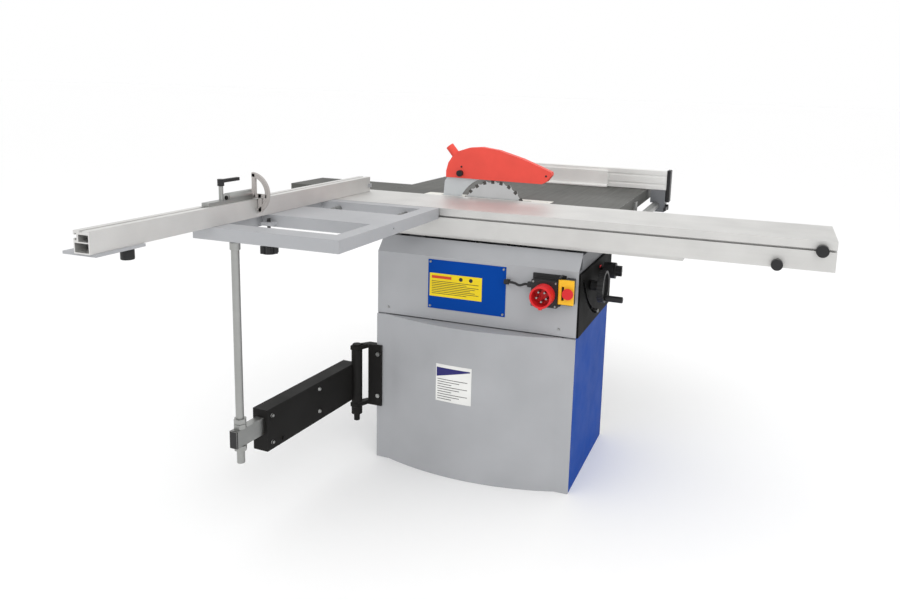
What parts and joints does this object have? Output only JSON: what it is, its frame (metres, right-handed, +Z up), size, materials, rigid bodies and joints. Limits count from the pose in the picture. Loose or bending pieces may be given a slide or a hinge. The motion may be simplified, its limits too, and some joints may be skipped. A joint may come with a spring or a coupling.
{
  "type": "panel saw",
  "caption": "Sliding-table panel saw with outrigger, crosscut and rip fences, tilting blade, riving knife, red blade guard and a swing support arm.",
  "frame": {"origin": "on the floor under the middle of the cabinet, at the seam between sliding table and main table", "axes": "+X to the operator's end, -Y to the sliding-table side, +Z up"},
  "size_m": [1.919, 2.152, 1.0566],
  "materials": {
    "frame_paint": "matt dark grey",
    "grey_paint": "satin light grey enamel",
    "blue_paint": "satin blue enamel",
    "black_paint": "satin black powder coat",
    "label_film": null,
    "zinc_steel": "bright zinc plating",
    "cast_iron": "ground, oiled",
    "white_plastic": "matt white",
    "aluminium": "anodised, brushed along its length",
    "black_plastic": "fine-grained black",
    "red_plastic": "glossy red",
    "motor_paint": "satin dark blue-grey",
    "blade_steel": "ground steel",
    "belt_rubber": "matt rubber",
    "yellow_plastic": "glossy yellow"
  },
  "bodies": {
    "frame": {"cabinet_frame": "frame_paint", "rear_cover": "grey_paint", "operator_side_panel": "blue_paint", "control_panel": "black_paint", "bow_front_cover": "grey_paint", "upper_side_cover": "grey_paint", "name_plate": "blue_paint", "labels": "label_film", "cover_screws": "zinc_steel", "main_table": "cast_iron", "table_insert": "white_plastic", "side_extension_table": "cast_iron", "outfeed_extension_table": "cast_iron", "frame_bolts": "zinc_steel", "rip_rail": "zinc_steel", "trunnions": "frame_paint", "guide_beam": "aluminium", "arm_bracket": "black_paint", "switch_box": "black_plastic", "mains_inlet": "red_plastic", "switch_base": "black_plastic", "switch_cable": "black_plastic"},
    "carriage": {"sliding_table": "aluminium", "outrigger_frame": "grey_paint", "outrigger_clamps": "zinc_steel"},
    "slot_knob": {"slot_knob": "black_plastic"},
    "lock_knob": {"lock_knob": "black_plastic"},
    "clamp_knob": {"clamp_knob": "black_plastic"},
    "crosscut": {"crosscut_fence": "aluminium", "fence_foot": "grey_paint"},
    "foot_knob": {"fence_foot_knob": "black_plastic"},
    "stop": {"stop_clamp": "zinc_steel"},
    "flip": {"flip_stop": "aluminium"},
    "ratchet": {"ratchet_lever": "black_plastic"},
    "tilt": {"cradle": "frame_paint", "lift_guides": "zinc_steel"},
    "lift": {"arbor_housing": "cast_iron", "motor": "motor_paint", "riving_knife": "blade_steel", "drive_belt": "belt_rubber"},
    "blade": {"saw_blade": "blade_steel", "blade_flanges": "zinc_steel", "arbor": "zinc_steel"},
    "motor_drive": {"motor_pulley": "zinc_steel"},
    "guard": {"guard_shell": "red_plastic", "guard_spout": "red_plastic", "guard_knob": "black_plastic"},
    "rip": {"rip_carriage": "frame_paint"},
    "rip_fence": {"rip_profile": "aluminium", "rip_face_profile": "aluminium", "rip_end_plate": "black_plastic"},
    "rip_lever": {"rip_clamp_lever": "black_plastic"},
    "handwheel": {"handwheel": "black_plastic"},
    "crank": {"crank_handle": "black_plastic"},
    "tilt_knob": {"tilt_knob": "black_plastic"},
    "arm": {"arm_tube": "black_paint"},
    "arm_inner": {"inner_tube": "zinc_steel", "support_post": "zinc_steel"},
    "flap": {"stop_flap": "yellow_plastic"},
    "button": {"stop_button": "red_plastic"}
  },
  "joints": [
    {"name": "carriage_slide", "type": "slide", "parent": "frame", "child": "carriage", "axis": [1, 0, 0], "range_m": [-0.75, 0.1]},
    {"name": "slot_knob_turn", "type": "hinge", "parent": "carriage", "child": "slot_knob", "pos_m": [1.003, -0.3, 0.845], "axis": [0, 1, 0], "range_deg": [-180, 180]},
    {"name": "lock_knob_turn", "type": "hinge", "parent": "carriage", "child": "lock_knob", "pos_m": [0.89, -0.3, 0.796], "axis": [0, 1, 0], "range_deg": [-180, 180]},
    {"name": "clamp_knob_turn", "type": "hinge", "parent": "carriage", "child": "clamp_knob", "pos_m": [-0.505, -0.668, 0.8], "axis": [0, 0, 1], "range_deg": [-180, 180]},
    {"name": "fence_mitre", "type": "hinge", "parent": "carriage", "child": "crosscut", "pos_m": [-0.5355, -0.24, 0.8725], "axis": [0, 0, 1], "range_deg": [0, 45]},
    {"name": "foot_knob_turn", "type": "hinge", "parent": "crosscut", "child": "foot_knob", "pos_m": [-0.5435, -1.164, 0.85], "axis": [0, 0, 1], "range_deg": [-180, 180]},
    {"name": "stop_slide", "type": "slide", "parent": "crosscut", "child": "stop", "axis": [0, 1, 0], "range_m": [-0.38, 0.5]},
    {"name": "stop_flip", "type": "hinge", "parent": "stop", "child": "flip", "pos_m": [-0.5355, -0.7, 0.9385], "axis": [0, -1, 0], "range_deg": [0, 100]},
    {"name": "ratchet_turn", "type": "hinge", "parent": "stop", "child": "ratchet", "pos_m": [-0.5355, -0.836, 0.98], "axis": [0, 0, 1], "range_deg": [-60, 60]},
    {"name": "blade_tilt", "type": "hinge", "parent": "frame", "child": "tilt", "pos_m": [0, 0.02, 0.872], "axis": [-1, 0, 0], "range_deg": [0, 45]},
    {"name": "blade_lift", "type": "slide", "parent": "tilt", "child": "lift", "axis": [0, 0, 1], "range_m": [-0.034, 0.012]},
    {"name": "blade_spin", "type": "hinge", "parent": "lift", "child": "blade", "pos_m": [-0.059, 0.02, 0.811], "axis": [0, 1, 0], "continuous": true},
    {"name": "motor_spin", "type": "hinge", "parent": "lift", "child": "motor_drive", "pos_m": [-0.059, 0.02, 0.65], "axis": [0, 1, 0], "continuous": true},
    {"name": "guard_pivot", "type": "hinge", "parent": "lift", "child": "guard", "pos_m": [-0.18, 0.02, 0.955], "axis": [0, -1, 0], "range_deg": [0, 18]},
    {"name": "rip_slide", "type": "slide", "parent": "frame", "child": "rip", "axis": [0, 1, 0], "range_m": [-0.4, 0.17]},
    {"name": "rip_profile_slide", "type": "slide", "parent": "rip", "child": "rip_fence", "axis": [1, 0, 0], "range_m": [0, 0.12]},
    {"name": "rip_lever_turn", "type": "hinge", "parent": "rip", "child": "rip_lever", "pos_m": [0.461, 0.624, 0.804], "axis": [1, 0, 0], "range_deg": [0, 75]},
    {"name": "handwheel_turn", "type": "hinge", "parent": "frame", "child": "handwheel", "pos_m": [0.37, -0.158, 0.645], "axis": [1, 0, 0], "range_deg": [-307, 109]},
    {"name": "crank_spin", "type": "hinge", "parent": "handwheel", "child": "crank", "pos_m": [0.42, -0.162, 0.608], "axis": [1, 0, 0], "continuous": true},
    {"name": "tilt_knob_turn", "type": "hinge", "parent": "frame", "child": "tilt_knob", "pos_m": [0.37, 0, 0.664], "axis": [1, 0, 0], "range_deg": [-1, 181]},
    {"name": "arm_swing", "type": "hinge", "parent": "frame", "child": "arm", "pos_m": [-0.394, -0.352, 0.3], "axis": [0, 0, 1], "range_deg": [-60, 50]},
    {"name": "arm_extend", "type": "slide", "parent": "arm", "child": "arm_inner", "axis": [-0.0624, -0.9981, 0], "range_m": [-0.02, 0.24]},
    {"name": "flap_hinge", "type": "hinge", "parent": "frame", "child": "flap", "pos_m": [0.2895, -0.347, 0.66], "axis": [0, 0, -1], "range_deg": [0, 75]},
    {"name": "button_press", "type": "slide", "parent": "flap", "child": "button", "axis": [0, 1, 0], "range_m": [0, 0.004], "stiffness_N_per_m": 300}
  ],
  "couplings": [
    {"joint": "motor_spin", "follows": "blade_spin", "ratio": 0.78125},
    {"joint": "handwheel_turn", "follows": "blade_lift", "rad_per_m": 157.08},
    {"joint": "tilt_knob_turn", "follows": "blade_tilt", "ratio": 4}
  ]
}
